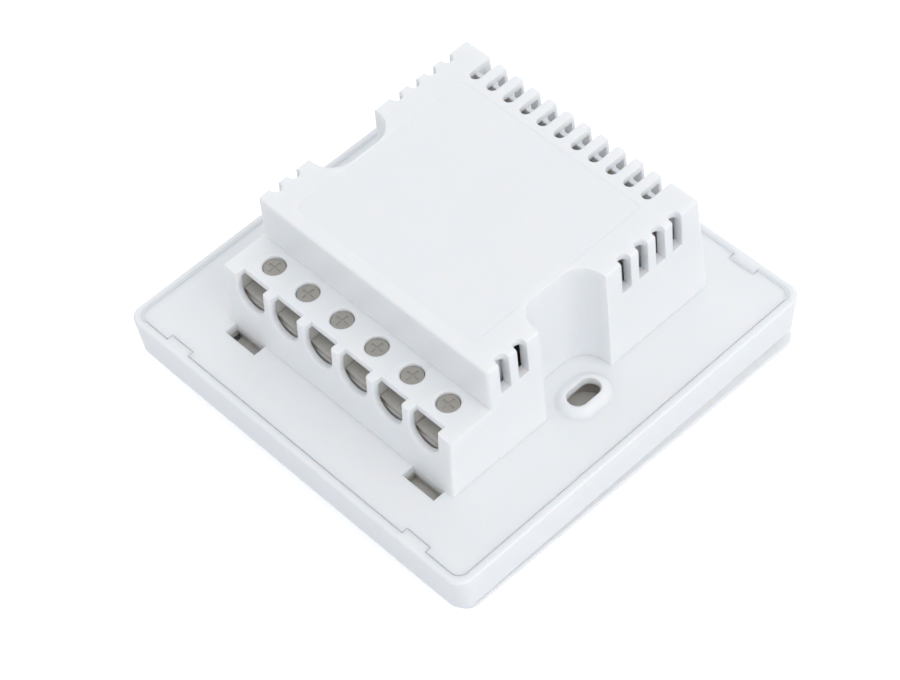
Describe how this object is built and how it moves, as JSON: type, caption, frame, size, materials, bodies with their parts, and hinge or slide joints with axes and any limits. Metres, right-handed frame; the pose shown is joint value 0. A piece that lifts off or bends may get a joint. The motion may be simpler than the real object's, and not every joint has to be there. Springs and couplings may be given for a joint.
{
  "type": "smart curtain switch",
  "caption": "Square wall plate with three wedge keys on the front, a stepped vented housing, screw terminals and side mounting slots on the back.",
  "frame": {"origin": "middle of the plate, on the plane that the lowest points of the keys touch", "axes": "+Z from the keys to the back that goes into the wall box, +Y towards the vented end, -Y towards the terminals, +X to the close key"},
  "size_m": [0.086, 0.086, 0.0374],
  "materials": {
    "housing": "fine satin moulded PC/ABS",
    "keys": "smooth moulded PC/ABS",
    "lens": "clear moulded acrylic",
    "pcb": "white solder-masked glass laminate",
    "black_plastic": "moulded, satin",
    "terminal_plastic": "moulded PA66, satin",
    "relay_plastic": "moulded PBT, satin",
    "zinc_steel": "zinc plated, rolled",
    "brass": "stamped brass, tin plated",
    "ferrite": "pressed and sintered",
    "copper_winding": "enamelled wire under polyester tape",
    "can_sleeve": "shrunk PVC sleeve on an aluminium can",
    "film_box": "epoxy filled box",
    "varistor_epoxy": "dipped epoxy",
    "fuse_ceramic": "glazed ceramic",
    "shield": "tin-plated, stamped",
    "led": "moulded, clear epoxy",
    "button_cap": "moulded, satin"
  },
  "bodies": {
    "housing": {"button_body_close": "black_plastic", "button_body_open": "black_plastic", "button_body_stop": "black_plastic", "control_board": "pcb", "control_board_screws": "zinc_steel", "controller_chip": "black_plastic", "filter_choke": "black_plastic", "front_frame": "housing", "fuse": "fuse_ceramic", "indicator_leds": "led", "input_capacitor": "can_sleeve", "light_guides": "lens", "link_pins": "brass", "link_spacer": "black_plastic", "output_capacitor": "can_sleeve", "power_board": "pcb", "power_board_screws": "zinc_steel", "power_chip": "black_plastic", "radio_board": "pcb", "radio_shield": "shield", "rear_housing": "housing", "rectifier": "black_plastic", "relay_close": "relay_plastic", "relay_open": "relay_plastic", "safety_capacitor": "film_box", "terminal_block": "terminal_plastic", "terminal_contacts": "brass", "transformer_bobbin": "black_plastic", "transformer_core": "ferrite", "transformer_winding": "copper_winding", "varistor": "varistor_epoxy"},
    "key_open": {"key_open": "keys", "key_lens_open": "lens"},
    "plunger_open": {"button_plunger_open": "button_cap"},
    "key_stop": {"key_stop": "keys", "key_lens_stop": "lens"},
    "plunger_stop": {"button_plunger_stop": "button_cap"},
    "key_close": {"key_close": "keys", "key_lens_close": "lens"},
    "plunger_close": {"button_plunger_close": "button_cap"},
    "clamp_1": {"clamp_plate_1": "zinc_steel"},
    "screw_1": {"terminal_screw_1": "zinc_steel"},
    "clamp_2": {"clamp_plate_2": "zinc_steel"},
    "screw_2": {"terminal_screw_2": "zinc_steel"},
    "clamp_3": {"clamp_plate_3": "zinc_steel"},
    "screw_3": {"terminal_screw_3": "zinc_steel"},
    "clamp_4": {"clamp_plate_4": "zinc_steel"},
    "screw_4": {"terminal_screw_4": "zinc_steel"},
    "clamp_5": {"clamp_plate_5": "zinc_steel"},
    "screw_5": {"terminal_screw_5": "zinc_steel"},
    "clamp_6": {"clamp_plate_6": "zinc_steel"},
    "screw_6": {"terminal_screw_6": "zinc_steel"}
  },
  "joints": [
    {"name": "key_open_press", "type": "hinge", "parent": "housing", "child": "key_open", "pos_m": [-0.02863, -0.0375, 0.0059], "axis": [1, 0, 0], "range_deg": [0, 0.45837], "stiffness_Nm_per_rad": 3, "springref_deg": -0.57},
    {"name": "plunger_open_slide", "type": "slide", "parent": "housing", "child": "plunger_open", "axis": [0, 0, 1], "range_m": [0, 0.0005001]},
    {"name": "key_stop_press", "type": "hinge", "parent": "housing", "child": "key_stop", "pos_m": [0, -0.0375, 0.0059], "axis": [1, 0, 0], "range_deg": [0, 0.45837], "stiffness_Nm_per_rad": 3, "springref_deg": -0.57},
    {"name": "plunger_stop_slide", "type": "slide", "parent": "housing", "child": "plunger_stop", "axis": [0, 0, 1], "range_m": [0, 0.0005001]},
    {"name": "key_close_press", "type": "hinge", "parent": "housing", "child": "key_close", "pos_m": [0.02863, -0.0375, 0.0059], "axis": [1, 0, 0], "range_deg": [0, 0.45837], "stiffness_Nm_per_rad": 3, "springref_deg": -0.57},
    {"name": "plunger_close_slide", "type": "slide", "parent": "housing", "child": "plunger_close", "axis": [0, 0, 1], "range_m": [0, 0.0005001]},
    {"name": "clamp_1_slide", "type": "slide", "parent": "housing", "child": "clamp_1", "axis": [0, 0, 1], "range_m": [-0.0019, 0.0008]},
    {"name": "screw_1_turn", "type": "hinge", "parent": "clamp_1", "child": "screw_1", "pos_m": [-0.02195, -0.02365, 0.02525], "axis": [0, 0, 1], "range_deg": [-1369, 577]},
    {"name": "clamp_2_slide", "type": "slide", "parent": "housing", "child": "clamp_2", "axis": [0, 0, 1], "range_m": [-0.0019, 0.0008]},
    {"name": "screw_2_turn", "type": "hinge", "parent": "clamp_2", "child": "screw_2", "pos_m": [-0.01317, -0.02365, 0.02525], "axis": [0, 0, 1], "range_deg": [-1369, 577]},
    {"name": "clamp_3_slide", "type": "slide", "parent": "housing", "child": "clamp_3", "axis": [0, 0, 1], "range_m": [-0.0019, 0.0008]},
    {"name": "screw_3_turn", "type": "hinge", "parent": "clamp_3", "child": "screw_3", "pos_m": [-0.00439, -0.02365, 0.02525], "axis": [0, 0, 1], "range_deg": [-1369, 577]},
    {"name": "clamp_4_slide", "type": "slide", "parent": "housing", "child": "clamp_4", "axis": [0, 0, 1], "range_m": [-0.0019, 0.0008]},
    {"name": "screw_4_turn", "type": "hinge", "parent": "clamp_4", "child": "screw_4", "pos_m": [0.00439, -0.02365, 0.02525], "axis": [0, 0, 1], "range_deg": [-1369, 577]},
    {"name": "clamp_5_slide", "type": "slide", "parent": "housing", "child": "clamp_5", "axis": [0, 0, 1], "range_m": [-0.0019, 0.0008]},
    {"name": "screw_5_turn", "type": "hinge", "parent": "clamp_5", "child": "screw_5", "pos_m": [0.01317, -0.02365, 0.02525], "axis": [0, 0, 1], "range_deg": [-1369, 577]},
    {"name": "clamp_6_slide", "type": "slide", "parent": "housing", "child": "clamp_6", "axis": [0, 0, 1], "range_m": [-0.0019, 0.0008]},
    {"name": "screw_6_turn", "type": "hinge", "parent": "clamp_6", "child": "screw_6", "pos_m": [0.02195, -0.02365, 0.02525], "axis": [0, 0, 1], "range_deg": [-1369, 577]}
  ],
  "couplings": [
    {"joint": "plunger_open_slide", "follows": "key_open_press", "m_per_rad": 0.0625},
    {"joint": "plunger_stop_slide", "follows": "key_stop_press", "m_per_rad": 0.0625},
    {"joint": "plunger_close_slide", "follows": "key_close_press", "m_per_rad": 0.0625},
    {"joint": "screw_1_turn", "follows": "clamp_1_slide", "rad_per_m": 12566},
    {"joint": "screw_2_turn", "follows": "clamp_2_slide", "rad_per_m": 12566},
    {"joint": "screw_3_turn", "follows": "clamp_3_slide", "rad_per_m": 12566},
    {"joint": "screw_4_turn", "follows": "clamp_4_slide", "rad_per_m": 12566},
    {"joint": "screw_5_turn", "follows": "clamp_5_slide", "rad_per_m": 12566},
    {"joint": "screw_6_turn", "follows": "clamp_6_slide", "rad_per_m": 12566}
  ]
}
